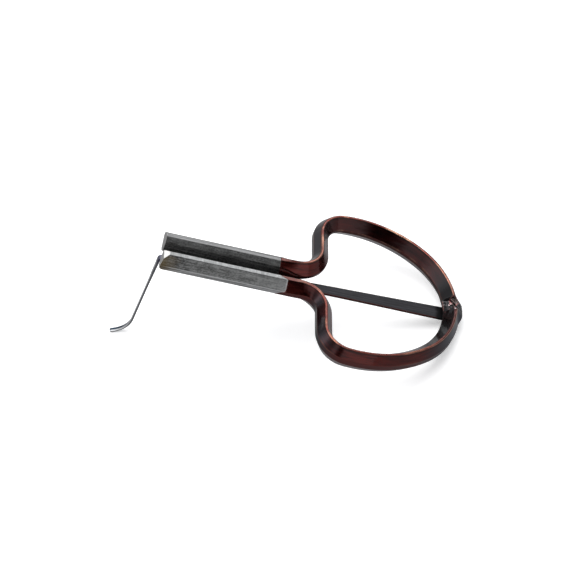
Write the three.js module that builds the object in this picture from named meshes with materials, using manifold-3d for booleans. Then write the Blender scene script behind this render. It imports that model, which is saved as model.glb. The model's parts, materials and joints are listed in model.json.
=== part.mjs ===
// Jaw harp. A square steel bar, standing on edge, is bent into a heart-shaped bow that runs out into two
// parallel arms. A flat strip of spring steel, the reed, is staked into the back of the bow, runs between
// the arms and is turned down past their tips as the trigger, which ends in a small curl.
//
// Sizes are in millimetres. The harp is drawn flat first: X runs from the arm tips to the back of the bow,
// +Y is the left arm's side, and the trigger points down along -Z. At the end it is tipped about Y to the
// way it lies on a table, on the trigger's curl and the back of the bow. The origin is then on the table,
// under the middle of the harp.

import * as THREE from 'three';
import { mergeVertices } from 'three/addons/utils/BufferGeometryUtils.js';
import Module from 'manifold-3d';

const wasm = await Module();
wasm.setup();

// ---- driving dimensions -------------------------------------------------------------------------------

// The bar's section as half sizes from its centre line: the flat top and bottom edges (ridge), the corner
// that faces out of the bow, and the corner that faces into it. "flat" is half the width of a blunted corner.
const ARM_BAR = { ridge: 3.4, ridgeFlat: 0.58, outer: 3.4, outerFlat: 0.7, inner: 3.6, innerFlat: 0.4 };
const BOW_BAR = { ridge: 3.95, ridgeFlat: 0.35, outer: 2.1, outerFlat: 1.0, inner: 2.9, innerFlat: 0.48 };

const ARM_OFFSET = 3.6; // an arm's centre line to the harp's centre plane
const ARM_GAP = 3.2; // clear width between the arms, where the reed passes
const LEFT_BARE = 36.0; // length of bare ground steel, from the tip to the lacquer
const RIGHT_BARE = 38.0;
const LEFT_BEND_START = 40.8; // where the left arm starts to bend out into its lobe
const GAP_END = 46.0; // the ground gap fades out in the bend by here

// One lobe, as a bar bender would make it: out from the arm, straight, round the shoulder, along the flank.
// The last bend, round to the back of the bow, follows from the others. Angles are in degrees.
const LEFT_LOBE = { outRadius: 8.0, outAngle: 90, rise: 6.9, shoulderRadius: 8.4, shoulderAngle: 83,
  flankRadius: 35.5, flankAngle: 43 };
const RIGHT_LOBE = { outRadius: 7.9, outAngle: 90, rise: 7.1, shoulderRadius: 8.0, shoulderAngle: 84.5,
  flankRadius: 35.6, flankAngle: 44 };

const REED_THICKNESS = 0.8;
const REED_HEIGHT_AT_ROOT = -1.5; // the reed's mid plane, below the middle of the bar
const REED_HEIGHT_AT_TIP = -3.2;
const ROOT_HALF_WIDTH = 2.4;
const SHOULDER_HALF_WIDTH = 1.65; // where the reed comes up to the arms
const SLOT_HALF_WIDTH = 1.15; // where it runs between them
const TIP_HALF_WIDTH = 0.9;
const REED_SHOULDER_X = 47.0;
const REED_SLOT_X = 40.0;
const HINGE_X = 88.2; // the reed bends from here on, just inside the bow
const ROOT_END_X = 91.6; // the root ends here, inside the notch
const SEAT_GAP = 0.3; // clearance round the root, and between two pieces that meet

const TRIGGER_HALF_WIDTH = 0.75; // the trigger is drawn out a little thinner than the reed
const TRIGGER_THICKNESS = 0.7;
const TRIGGER_LEAN = 2.9; // degrees that the trigger leans away from the arms
const TRIGGER_BEND_RADIUS = 1.0;
const TRIGGER_DROP = 30.0; // centre of the tip down to where the curl starts
const CURL_RADIUS = 8.5;
const CURL_ANGLE = 63.6;
const CURL_TAIL = 0.5;

const RIGHT_TIP_X = -1.0; // the right arm is a little longer than the left, whose tip is at X = 0
// Its tip is filed by planes: each crosses the bar's centre line at x and moves back by perOut for every
// millimetre out of the bow and by perUp for every millimetre up.
const TIP_PLANES = [
  { x: -0.565, perOut: -0.107, perUp: -0.025 }, // squares the end
  { x: -1.265, perOut: 0, perUp: 0.45 }, // leans it back
  { x: -3.7, perOut: 0, perUp: 1.5 }, // takes off the top corner
  { x: -3.84, perOut: 0.8, perUp: -1.18 }, // and the outer bottom one
];

// The metal hammered out behind the notch, as an outline in X from the bar's centre line and in Y.
const PAD_OUTLINE = [[-1.0, -5.0], [1.9, -4.2], [2.9, -1.4], [2.9, 0.8], [1.5, 4.6], [-1.0, 5.2]];
const PAD_HALF_HEIGHT = 2.1;

const BOW_STEP = 1.5; // spacing of the sections along the bow
const TRIGGER_STEP = 0.6; // and along the trigger
const OVERLAP = 0.3; // how far joined solids run into each other
const WELD = 1e-5; // vertices closer than this are one
const FAR = 60; // larger than any piece it cuts
const TILT_ROUNDS = 8; // steps towards the resting tilt

const degrees = THREE.MathUtils.degToRad;

// ---- the path of the bar ------------------------------------------------------------------------------

// A path in the XY plane, drawn as a turtle would: straight lengths and round bends, each tangent to the last.
class BentLine extends THREE.Curve {
  constructor(start, heading) {
    super();
    this.spans = [];
    this.end = start.clone();
    this.heading = heading;
    this.length = 0;
  }

  straight(length) {
    this.addSpan({ start: this.end, heading: this.heading, length, turn: 0 });
    return this;
  }

  // turn is in radians, positive to the left
  bend(radius, turn) {
    this.addSpan({ start: this.end, heading: this.heading, length: radius * Math.abs(turn), turn });
    return this;
  }

  addSpan(span) {
    this.spans.push(span);
    this.end = this.pointOn(span, span.length);
    this.heading += span.turn;
    this.length += span.length;
  }

  pointOn(span, distance) {
    const { start, heading, length, turn } = span;
    if (turn === 0) {
      return new THREE.Vector3(Math.cos(heading), Math.sin(heading), 0).multiplyScalar(distance).add(start);
    }
    const radius = length / turn;
    const now = heading + distance / radius;
    const dx = radius * (Math.sin(now) - Math.sin(heading));
    const dy = radius * (Math.cos(heading) - Math.cos(now));
    return new THREE.Vector3(dx, dy, 0).add(start);
  }

  getPoint(t, target = new THREE.Vector3()) {
    let rest = THREE.MathUtils.clamp(t, 0, 1) * this.length;
    for (const span of this.spans) {
      if (rest <= span.length || span === this.spans.at(-1)) {
        return target.copy(this.pointOn(span, rest));
      }
      rest -= span.length;
    }
    return target;
  }
}

// The last bend of a lobe: it starts at height y with the given heading and must reach y = 0 heading -Y.
function lastBendRadius(y, heading) {
  return y / Math.cos(heading);
}

// One lobe as a line from the start of its arm's bend to the middle of the bow's back.
function lobeLine(lobe, startX) {
  const line = new BentLine(new THREE.Vector3(startX, ARM_OFFSET, 0), 0);
  line.bend(lobe.outRadius, degrees(lobe.outAngle));
  line.straight(lobe.rise);
  line.bend(lobe.shoulderRadius, -degrees(lobe.shoulderAngle));
  line.bend(lobe.flankRadius, -degrees(lobe.flankAngle));
  line.bend(lastBendRadius(line.end.y, line.heading), -Math.PI / 2 - line.heading);
  return line;
}

const leftLine = lobeLine(LEFT_LOBE, LEFT_BEND_START);
const BACK_X = leftLine.end.x;
const RIGHT_BEND_START = BACK_X - lobeLine(RIGHT_LOBE, 0).end.x;
const rightLine = lobeLine(RIGHT_LOBE, RIGHT_BEND_START);

// The whole bow: along the left lobe, then back along the right lobe, whose spans run the other way.
function bowLine() {
  const line = new BentLine(new THREE.Vector3(LEFT_BEND_START, ARM_OFFSET, 0), 0);
  for (const span of leftLine.spans) {
    line.addSpan({ start: line.end, heading: line.heading, length: span.length, turn: span.turn });
  }
  for (const span of [...rightLine.spans].reverse()) {
    line.addSpan({ start: line.end, heading: line.heading, length: span.length, turn: span.turn });
  }
  return line;
}

// ---- shapes -------------------------------------------------------------------------------------------

// The bar's section. Swept along a path, the shape's -x becomes up and its y the path's left, so a path
// that keeps the outside of the bow on its left takes side = 1 and the opposite takes side = -1.
function barSection(bar, side) {
  const points = [
    [-bar.ridge, bar.ridgeFlat], [-bar.outerFlat, bar.outer], [bar.outerFlat, bar.outer],
    [bar.ridge, bar.ridgeFlat], [bar.ridge, -bar.ridgeFlat], [bar.innerFlat, -bar.inner],
    [-bar.innerFlat, -bar.inner], [-bar.ridge, -bar.ridgeFlat],
  ];
  return new THREE.Shape(points.map(([x, y]) => new THREE.Vector2(x, y * side)));
}

function sweep(section, path, steps) {
  return new THREE.ExtrudeGeometry(section, { steps, extrudePath: path });
}

// A straight stretch of arm from x = from to x = to, on the left for side = 1 and the right for side = -1.
function armStretch(from, to, side) {
  const y = ARM_OFFSET * side;
  const path = new THREE.LineCurve3(new THREE.Vector3(from, y, 0), new THREE.Vector3(to, y, 0));
  return sweep(barSection(ARM_BAR, side), path, 1);
}

function block(fromX, toX, halfY, fromZ, toZ) {
  const box = new THREE.BoxGeometry(toX - fromX, 2 * halfY, toZ - fromZ);
  return box.translate((fromX + toX) / 2, 0, (fromZ + toZ) / 2);
}

// A block that fills everything beyond one of the planes that shape the right arm's tip.
function beyondPlane({ x, perOut, perUp }) {
  const towardsBow = new THREE.Vector3(1, perOut, -perUp).normalize();
  const turn = new THREE.Quaternion().setFromUnitVectors(new THREE.Vector3(1, 0, 0), towardsBow);
  const box = new THREE.BoxGeometry(FAR, FAR, FAR).translate(-FAR / 2, 0, 0);
  return box.applyQuaternion(turn).translate(x, -ARM_OFFSET, 0);
}

// ---- solids -------------------------------------------------------------------------------------------

function toSolid(geometry) {
  const bare = geometry.clone();
  bare.deleteAttribute('normal');
  bare.deleteAttribute('uv');
  const merged = mergeVertices(bare, WELD);
  return new wasm.Manifold(new wasm.Mesh({
    numProp: 3,
    vertProperties: new Float32Array(merged.attributes.position.array),
    triVerts: new Uint32Array(merged.index.array),
  }));
}

function toGeometry(solid) {
  const mesh = solid.getMesh();
  const geometry = new THREE.BufferGeometry();
  geometry.setAttribute('position', new THREE.BufferAttribute(mesh.vertProperties, 3));
  geometry.setIndex(new THREE.BufferAttribute(mesh.triVerts, 1));
  return geometry;
}

// The ground gap between the arms: it flattens the inner corner of the bar on both sides.
function armGap() {
  return toSolid(block(-FAR, GAP_END, ARM_GAP / 2, -FAR, FAR));
}

function leftArmSolid() {
  return toSolid(armStretch(0, LEFT_BARE - SEAT_GAP / 2, 1)).subtract(armGap());
}

function rightArmSolid() {
  const arm = toSolid(armStretch(RIGHT_TIP_X, RIGHT_BARE - SEAT_GAP / 2, -1)).subtract(armGap());
  return TIP_PLANES.reduce((solid, plane) => solid.subtract(toSolid(beyondPlane(plane))), arm);
}

// The metal that the hammer spread outwards behind the notch when the reed was staked.
function hammeredPad() {
  const outline = new THREE.Shape(PAD_OUTLINE.map(([x, y]) => new THREE.Vector2(BACK_X + x, y)));
  const pad = new THREE.ExtrudeGeometry(outline, { depth: 2 * PAD_HALF_HEIGHT, bevelEnabled: false });
  return toSolid(pad.translate(0, 0, -PAD_HALF_HEIGHT));
}

// The notch in the back of the bow that the reed's root is staked into.
function notch() {
  const halfHeight = REED_THICKNESS / 2 + SEAT_GAP;
  const height = REED_HEIGHT_AT_ROOT;
  const toX = ROOT_END_X + SEAT_GAP;
  return toSolid(block(HINGE_X - 1, toX, ROOT_HALF_WIDTH + SEAT_GAP, height - halfHeight, height + halfHeight));
}

function bowSolid() {
  const line = bowLine();
  const ring = toSolid(sweep(barSection(BOW_BAR, 1), line, Math.round(line.length / BOW_STEP)));
  const leftStub = toSolid(armStretch(LEFT_BARE + SEAT_GAP / 2, LEFT_BEND_START + OVERLAP, 1));
  const rightStub = toSolid(armStretch(RIGHT_BARE + SEAT_GAP / 2, RIGHT_BEND_START + OVERLAP, -1));
  return ring.add(leftStub).add(rightStub).add(hammeredPad()).subtract(armGap()).subtract(notch());
}

// ---- the reed -----------------------------------------------------------------------------------------

const reedSlope = Math.asin((REED_HEIGHT_AT_ROOT - REED_HEIGHT_AT_TIP) / HINGE_X);

// The strip's outline, seen from above, between two distances from the tip. Points run along one edge.
function stripSlab(edge) {
  const far = edge.map(([x, halfWidth]) => new THREE.Vector2(x, halfWidth));
  const near = edge.map(([x, halfWidth]) => new THREE.Vector2(x, -halfWidth)).reverse();
  const outline = new THREE.Shape([...far, ...near]);
  const slab = new THREE.ExtrudeGeometry(outline, { depth: REED_THICKNESS, bevelEnabled: false });
  return slab.translate(0, 0, -REED_THICKNESS / 2);
}

function tongueGeometry() {
  return stripSlab([
    [TRIGGER_BEND_RADIUS + SEAT_GAP / 2, TIP_HALF_WIDTH],
    [REED_SLOT_X, SLOT_HALF_WIDTH],
    [REED_SHOULDER_X, SHOULDER_HALF_WIDTH],
    [HINGE_X - SEAT_GAP / 2, ROOT_HALF_WIDTH],
  ]);
}

function rootGeometry() {
  return stripSlab([[HINGE_X + SEAT_GAP / 2, ROOT_HALF_WIDTH], [ROOT_END_X, ROOT_HALF_WIDTH]]);
}

// The trigger's centre line: the bend at the tip, the straight drop, the curl and its short tail. It is drawn
// in the XY plane, with the drop along -Y, and stood up afterwards.
function triggerGeometry() {
  const line = new BentLine(new THREE.Vector3(TRIGGER_BEND_RADIUS - SEAT_GAP / 2, 0, 0), Math.PI);
  line.straight(SEAT_GAP);
  line.bend(TRIGGER_BEND_RADIUS, Math.PI / 2 - degrees(TRIGGER_LEAN));
  line.straight(TRIGGER_DROP - TRIGGER_BEND_RADIUS);
  line.bend(CURL_RADIUS, -degrees(CURL_ANGLE));
  line.straight(CURL_TAIL);
  const halfThickness = TRIGGER_THICKNESS / 2;
  const section = new THREE.Shape([
    new THREE.Vector2(-TRIGGER_HALF_WIDTH, -halfThickness),
    new THREE.Vector2(TRIGGER_HALF_WIDTH, -halfThickness),
    new THREE.Vector2(TRIGGER_HALF_WIDTH, halfThickness),
    new THREE.Vector2(-TRIGGER_HALF_WIDTH, halfThickness),
  ]);
  return sweep(section, line, Math.round(line.length / TRIGGER_STEP)).rotateX(Math.PI / 2);
}

// ---- materials ----------------------------------------------------------------------------------------

function lacqueredSteel() {
  return new THREE.MeshStandardMaterial({ color: 0x3a1512, roughness: 0.2, metalness: 0.5 });
}

function groundSteel() {
  return new THREE.MeshStandardMaterial({ color: 0x7c7e7d, roughness: 0.45, metalness: 0.9 });
}

function springSteel() {
  return new THREE.MeshStandardMaterial({ color: 0x3c3c42, roughness: 0.4, metalness: 0.8 });
}

function bluedSteel() {
  return new THREE.MeshStandardMaterial({ color: 0x6d7480, roughness: 0.35, metalness: 0.9 });
}

// ---- the assembly -------------------------------------------------------------------------------------

function named(name, geometry, material) {
  const mesh = new THREE.Mesh(geometry, material);
  mesh.name = name;
  return mesh;
}

const bow = named('bow', toGeometry(bowSolid()), lacqueredSteel());
const leftArm = named('left_arm', toGeometry(leftArmSolid()), groundSteel());
const rightArm = named('right_arm', toGeometry(rightArmSolid()), groundSteel());
const root = named('reed_root', rootGeometry(), springSteel());
const tongue = named('tongue', tongueGeometry(), springSteel());
const trigger = named('trigger', triggerGeometry(), bluedSteel());

// The root lies level in its notch. The tongue and trigger slope down from the notch to the tip.
root.position.z = REED_HEIGHT_AT_ROOT;
const reed = new THREE.Group();
reed.add(tongue, trigger);
reed.rotation.y = -reedSlope;
reed.position.set(HINGE_X, 0, REED_HEIGHT_AT_ROOT);
tongue.position.x = -HINGE_X;
trigger.position.x = -HINGE_X;

const harp = new THREE.Group();
harp.add(bow, leftArm, rightArm, root, reed);

// The mesh's lowest point once the harp is tipped, as a point of the harp's own frame.
function lowestPoint(mesh, tilt) {
  const lowest = new THREE.Vector3();
  const point = new THREE.Vector3();
  let lowestZ = Infinity;
  for (let i = 0; i < mesh.geometry.attributes.position.count; i += 1) {
    point.fromBufferAttribute(mesh.geometry.attributes.position, i).applyMatrix4(mesh.matrixWorld);
    const z = point.z * Math.cos(tilt) - point.x * Math.sin(tilt);
    if (z < lowestZ) {
      lowestZ = z;
      lowest.copy(point);
    }
  }
  return lowest;
}

// The tilt at which the trigger's curl and the back of the bow are equally low.
function restingTilt() {
  let tilt = 0;
  for (let round = 0; round < TILT_ROUNDS; round += 1) {
    const curl = lowestPoint(trigger, tilt);
    const back = lowestPoint(bow, tilt);
    tilt = Math.atan2(back.z - curl.z, back.x - curl.x);
  }
  return tilt;
}

harp.updateMatrixWorld(true);
harp.rotation.y = restingTilt();
harp.updateMatrixWorld(true);
const extent = new THREE.Box3().setFromObject(harp, true);
harp.position.x -= (extent.min.x + extent.max.x) / 2;
harp.position.y -= (extent.min.y + extent.max.y) / 2;
harp.position.z -= extent.min.z;

const jawHarp = new THREE.Group();
jawHarp.add(harp);

export default jawHarp;
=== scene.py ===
"""A jaw harp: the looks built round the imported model. Shapes are drawn in the harp's own flat frame, in
millimetres (X from the arm tips to the back of the bow, +Y the left arm's side, Z up from the trigger), and
then laid into the row frame, in metres, by the tilt of the arms' rest faces and the place of the hinge."""

import json
import math

import bmesh
import bpy
import numpy as np
from mathutils import Matrix, Vector, noise

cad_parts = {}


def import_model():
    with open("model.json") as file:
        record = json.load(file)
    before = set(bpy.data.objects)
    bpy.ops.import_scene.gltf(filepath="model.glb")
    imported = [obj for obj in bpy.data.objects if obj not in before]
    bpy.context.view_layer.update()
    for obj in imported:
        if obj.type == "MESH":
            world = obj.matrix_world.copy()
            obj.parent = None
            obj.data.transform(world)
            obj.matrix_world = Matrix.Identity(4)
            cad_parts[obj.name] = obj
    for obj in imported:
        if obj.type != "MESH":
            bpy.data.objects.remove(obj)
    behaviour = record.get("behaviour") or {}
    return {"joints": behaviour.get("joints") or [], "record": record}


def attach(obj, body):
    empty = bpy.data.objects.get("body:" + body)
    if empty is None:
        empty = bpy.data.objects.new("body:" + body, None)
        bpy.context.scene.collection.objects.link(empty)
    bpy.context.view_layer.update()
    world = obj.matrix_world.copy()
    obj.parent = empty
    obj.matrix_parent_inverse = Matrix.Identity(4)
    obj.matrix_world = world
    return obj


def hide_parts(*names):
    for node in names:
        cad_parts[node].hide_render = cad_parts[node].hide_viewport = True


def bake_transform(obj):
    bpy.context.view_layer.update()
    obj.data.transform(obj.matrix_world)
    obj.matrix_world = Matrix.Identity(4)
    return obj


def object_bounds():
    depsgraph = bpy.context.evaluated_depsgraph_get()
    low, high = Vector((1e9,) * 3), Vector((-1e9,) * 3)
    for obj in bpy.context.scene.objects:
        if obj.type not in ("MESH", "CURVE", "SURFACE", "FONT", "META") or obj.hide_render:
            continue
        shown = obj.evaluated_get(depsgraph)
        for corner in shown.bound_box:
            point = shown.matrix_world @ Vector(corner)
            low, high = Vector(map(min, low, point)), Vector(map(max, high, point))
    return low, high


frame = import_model()
cad_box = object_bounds()

# ---- where the flat frame lies in the row frame -------------------------------------------------------

MM = 0.001
HINGE = Vector((88.2, 0.0, -1.5))  # the reed's hinge in the flat frame

rest_axis = next(mount["axis"] for mount in frame["record"]["mounts"] if mount["name"] == "left_arm_rest")
TILT = math.atan2(rest_axis[0], rest_axis[2])
TO_ROW = (
    Matrix.Translation(Vector(frame["joints"][0]["pos_m"]))
    @ Matrix.Rotation(TILT, 4, "Y")
    @ Matrix.Scale(MM, 4)
    @ Matrix.Translation(-HINGE)
)

# ---- driving dimensions, the same as the solids' ------------------------------------------------------

ARM_OFFSET = 3.6
ARM_GAP = 3.2
LEFT_BARE = 36.0
RIGHT_BARE = 38.0
LEFT_BEND_START = 40.8
LEFT_LOBE = dict(
    out_radius=8.0, out=90, rise=6.9, shoulder_radius=8.4, shoulder=83, flank_radius=35.5, flank=43
)
RIGHT_LOBE = dict(
    out_radius=7.9, out=90, rise=7.1, shoulder_radius=8.0, shoulder=84.5, flank_radius=35.6, flank=44
)
RIGHT_TIP_X = -1.0

REED_HALF_THICKNESS = 0.4
REED_TIP_HEIGHT = -3.2
REED_TIP_HALF_WIDTH = 0.9
REED_WIDTH_PLACES = (0.0, 40.0, 47.0, 88.0)  # distances from the tip, and the half widths there
REED_HALF_WIDTHS = (REED_TIP_HALF_WIDTH, 1.15, 1.65, 2.4)
ROOT_END_X = 91.6
TRIGGER_LEAN = 2.9
TRIGGER_BEND_RADIUS = 1.0
TRIGGER_DROP = 30.0
CURL_RADIUS = 8.5
CURL_ANGLE = 63.6
CURL_TAIL = 0.5


def section(ridge, top, outside, outside_half, inside, inside_half):
    """The bar's eight corners round its centre line, as (distance out of the bow, height), from the inner
    side of the top ridge round by the outside."""
    return [
        (-ridge, top),
        (ridge, top),
        (outside, outside_half),
        (outside, -outside_half),
        (ridge, -top),
        (-ridge, -top),
        (inside, -inside_half),
        (inside, inside_half),
    ]


BOW_TOP = 3.95
BOW_SECTION = section(ridge=0.35, top=BOW_TOP, outside=2.1, outside_half=1.0, inside=-2.9, inside_half=0.48)
ARM_SECTION = section(
    ridge=0.58, top=3.4, outside=3.4, outside_half=0.7, inside=ARM_GAP / 2 - ARM_OFFSET, inside_half=1.99
)


def smooth(low, high, value):
    t = min(1.0, max(0.0, (value - low) / (high - low)))
    return t * t * (3 - 2 * t)


# ---- paths --------------------------------------------------------------------------------------------


class BentLine:
    """Straight lengths and round bends, each tangent to the last, in a plane."""

    def __init__(self, start, heading):
        self.end, self.heading, self.length, self.spans = start, heading, 0.0, []

    def straight(self, length):
        return self.add(length, 0.0)

    def bend(self, radius, turn):
        return self.add(radius * abs(turn), turn)

    def add(self, length, turn):
        self.spans.append((self.length, self.end, self.heading, length, turn))
        x, y, heading = self.on(self.spans[-1], length)
        self.end, self.heading = (x, y), heading
        self.length += length
        return self

    @staticmethod
    def on(span, distance):
        _, (x, y), heading, length, turn = span
        if turn == 0:
            return x + distance * math.cos(heading), y + distance * math.sin(heading), heading
        radius = length / turn
        now = heading + distance / radius
        x += radius * (math.sin(now) - math.sin(heading))
        y += radius * (math.cos(heading) - math.cos(now))
        return x, y, now

    def at(self, distance):
        """(x, y, heading) at a distance along the line."""
        for span in self.spans:
            if distance <= span[0] + span[3] or span is self.spans[-1]:
                return self.on(span, distance - span[0])


def lobe_spans(lobe, start_x):
    """One lobe's spans as (length, turn), from the arm to the middle of the back, and where it ends."""
    line = BentLine((start_x, ARM_OFFSET), 0.0)
    line.bend(lobe["out_radius"], math.radians(lobe["out"]))
    line.straight(lobe["rise"])
    line.bend(lobe["shoulder_radius"], -math.radians(lobe["shoulder"]))
    line.bend(lobe["flank_radius"], -math.radians(lobe["flank"]))
    line.bend(line.end[1] / math.cos(line.heading), -math.pi / 2 - line.heading)
    return [(span[3], span[4]) for span in line.spans], line.end[0]


left_spans, BACK_X = lobe_spans(LEFT_LOBE, LEFT_BEND_START)
right_spans, right_reach = lobe_spans(RIGHT_LOBE, 0.0)
RIGHT_BEND_START = BACK_X - right_reach

bow_line = BentLine((LEFT_BARE, ARM_OFFSET), 0.0).straight(LEFT_BEND_START - LEFT_BARE)
for length, turn in left_spans:
    bow_line.add(length, turn)
BACK_S = bow_line.length  # the middle of the back, as a distance along the bow
for length, turn in reversed(right_spans):
    bow_line.add(length, turn)
bow_line.straight(RIGHT_BEND_START - RIGHT_BARE)
BOW_LENGTH = bow_line.length

# ---- mesh helpers -------------------------------------------------------------------------------------

ROOM_FOR_ARC = 0.45  # a rounded corner takes at most this share of the side beside it


def rounded(corners, radii, arc_points, face_points):
    """A closed outline with its corners rounded: arc_points on each corner and face_points between two."""
    count = len(corners)
    arcs = []
    for i in range(count):
        here = np.array(corners[i], float)
        before = np.array(corners[i - 1], float) - here
        after = np.array(corners[(i + 1) % count], float) - here
        reach_before, reach_after = np.linalg.norm(before), np.linalg.norm(after)
        before, after = before / reach_before, after / reach_after
        half = math.acos(float(np.clip(before @ after, -1, 1))) / 2
        cut = min(radii[i] / math.tan(half), ROOM_FOR_ARC * reach_before, ROOM_FOR_ARC * reach_after)
        radius = cut * math.tan(half)
        centre = here + (before + after) / np.linalg.norm(before + after) * radius / math.sin(half)
        a, b = here + before * cut - centre, here + after * cut - centre
        sweep = math.acos(float(np.clip(a @ b / (radius * radius), -1, 1)))
        turn = np.sign(a[0] * b[1] - a[1] * b[0])
        arc = []
        for k in range(arc_points):
            angle = turn * sweep * k / (arc_points - 1)
            c, s = math.cos(angle), math.sin(angle)
            arc.append(centre + np.array((a[0] * c - a[1] * s, a[0] * s + a[1] * c)))
        arcs.append(arc)
    outline = []
    for i in range(count):
        outline += arcs[i]
        start, end = arcs[i][-1], arcs[(i + 1) % count][0]
        for k in range(face_points[i]):
            share = (k + 1) / (face_points[i] + 1)
            share = 0.5 - 0.5 * math.cos(math.pi * share)
            outline.append(start + (end - start) * share)
    return np.array(outline)


def linked(name, data):
    """An object made from its data, in the scene."""
    made = bpy.data.objects.new(name, data)
    bpy.context.scene.collection.objects.link(made)
    return made


def mesh_object(name, points, faces):
    """A smooth mesh from points in the flat frame, in millimetres. They stay there until laid()."""
    mesh = bpy.data.meshes.new(name)
    mesh.from_pydata([tuple(p) for p in points], [], faces)
    mesh.validate()
    bm = bmesh.new()
    bm.from_mesh(mesh)
    bmesh.ops.recalc_face_normals(bm, faces=bm.faces)
    bm.to_mesh(mesh)
    bm.free()
    mesh.shade_smooth()
    return linked(name, mesh)


def tube_faces(rings, around):
    """Quads between rings of points, and one face on each end."""
    faces = []
    for i in range(rings - 1):
        for k in range(around):
            a, b = i * around + k, i * around + (k + 1) % around
            faces.append((a, b, b + around, a + around))
    faces.append(tuple(range(around)))
    faces.append(tuple(reversed(range((rings - 1) * around, rings * around))))
    return faces


def points_of(obj):
    co = np.zeros(len(obj.data.vertices) * 3)
    obj.data.vertices.foreach_get("co", co)
    return co.reshape(-1, 3)


def attribute(obj, name, kind, values):
    made = obj.data.attributes.new(name, kind, "POINT")
    field = "vector" if kind == "FLOAT_VECTOR" else "value"
    made.data.foreach_set(field, np.asarray(values, float).ravel())


def laid(obj, material):
    """The mesh goes from the flat frame into the row frame and takes its material."""
    obj.data.transform(TO_ROW)
    obj.data.update()
    obj.data.materials.clear()
    obj.data.materials.append(material)


def weighted_normals(obj):
    obj.modifiers.new("normals", "WEIGHTED_NORMAL").keep_sharp = True


# ---- the bow's shape ----------------------------------------------------------------------------------

LACQUER = 0.06  # how far the lacquer stands proud of the ground arms at its edge
LACQUER_EDGE = (-0.03, 0.1)  # the lacquer rounds up to that within these distances from its edge
BOW_RADII = [0.34, 0.34, 0.5, 0.5, 0.34, 0.34, 0.34, 0.34]
ARM_RADII = [0.12, 0.12, 0.16, 0.16, 0.12, 0.12, 0.14, 0.14]
LEFT_EASE = (0.6, 8.0)  # the arm's section becomes the bow's between these distances from the lacquer's edge
RIGHT_EASE = (3.2, 12.5)
ARC_POINTS = 5
FACE_POINTS = [2, 14, 4, 8, 1, 8, 2, 16]
END_STOPS = [0.0, 0.03, 0.08, 0.16, 0.3]  # the rings by each end
FIRST_STOP, LAST_GAP = 0.7, 0.5  # between these there is one every STEP, or FINE_STEP at the back
STEP, FINE_STEP = 0.6, 0.18
BACK_REACH = 6.2  # the back is worked this far to both sides
BORDER_REACH = 6.0  # the slant of the lacquer's edge dies out over this length

# The lacquer's edge, as planes x = first + second * (distance out) + third * (height). On the left arm it
# leans; on the right one the ground face runs out with its corners cut.
LEFT_BORDER = [(LEFT_BARE, 0.0, -0.11)]
RIGHT_BORDER = [(RIGHT_BARE - 0.1, 0.0, 0.0), (RIGHT_BARE + 5.2, 1.9, -1.9), (RIGHT_BARE + 4.3, -1.8, 1.8)]

# The back where it was hammered over the reed. Places along it are distances to the left of its middle.
SWELL_OUT = 0.78  # how far the metal swells out
SWELL_UP, SWELL_DOWN = 1.0, 0.8  # how far its outer flat grows up and down
SWELL_RIGHT, SWELL_LEFT = (-5.4, -2.2), (1.2, 5.4)
CUT_STEP = (3.3, 4.0)  # the chisel's cut starts here, with the flattened ridge
CUT_WALL = (-1.15, -0.62)  # and ends here, at a steep wall
STEP_SHARE = 0.58  # the flattened ridge's depth as a share of the hole's
HOLE_EDGE, HOLE_SLANT, HOLE_SOFT = 1.48, 1.22, 0.35
CUT_DEPTH = 1.95
CUT_LEAN = 0.10  # the cut leans this much along the bar and in height, per distance out
CUT_PUSH, CUT_DROP = 0.80, 0.40  # the inner edge of the cut is pushed out and down
DENT_RIGHT, DENT_LEFT, DENT_FOOT = (-5.0, -1.8), (2.6, 5.2), (-1.4, -0.2)
DENT_OUT, DENT_DOWN = 0.11, 0.09


def bow_section(s):
    """The bar's corners and their radii at a distance along the bow."""
    from_arm = min(s, BOW_LENGTH - s)
    share = smooth(*LEFT_EASE, s) if s < BACK_S else smooth(*RIGHT_EASE, from_arm)
    corners = (1 - share) * np.array(ARM_SECTION) + share * np.array(BOW_SECTION)
    radii = (1 - share) * np.array(ARM_RADII) + share * np.array(BOW_RADII)
    proud = LACQUER * (1 - share) * smooth(*LACQUER_EDGE, from_arm)
    corners = corners + proud * corners / np.linalg.norm(corners, axis=1)[:, None]
    y = BACK_S - s
    swell = smooth(*SWELL_RIGHT, y) * (1 - smooth(*SWELL_LEFT, y))
    corners[2] += (SWELL_OUT * swell, SWELL_UP * swell)
    corners[3] += (SWELL_OUT * swell, -SWELL_DOWN * swell)
    return corners, radii


def chisel_cut(n, y):
    """Depth of the cut that stakes the reed, from 0 to 1: the flattened ridge, the hole, a steep wall."""
    step = 1 - smooth(*CUT_STEP, y)
    hole = 1 - smooth(-HOLE_SOFT, HOLE_SOFT, y - HOLE_EDGE + HOLE_SLANT * n)
    wall = smooth(*CUT_WALL, y)
    return step * wall * (STEP_SHARE + (1 - STEP_SHARE) * hole)


def struck(n, z, y):
    """Where a point of the section goes under the hammer and the chisel."""
    depth = chisel_cut(n, y + CUT_LEAN * (n + 1.5))
    if depth > 0 and z > 0.4 and n < 2.6:
        z = min(z, BOW_TOP - CUT_DEPTH * depth + CUT_LEAN * n)
        if n < 0.4:
            hold = depth * smooth(0.35, 1.5, z)
            n, z = n + CUT_PUSH * hold, z - CUT_DROP * hold
    near = smooth(*DENT_RIGHT, y) * (1 - smooth(*DENT_LEFT, y)) * smooth(*DENT_FOOT, z)
    broad = noise.noise(Vector((0.9 * y, 1.1 * n, 1.1 * z)))
    fine = noise.noise(Vector((2.3 * y, 2.3 * n + 7, 2.3 * z)))
    dents = near * (broad + 0.5 * fine)
    return n + DENT_OUT * dents * (1 if n > 0 else -1), z - DENT_DOWN * dents


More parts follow.
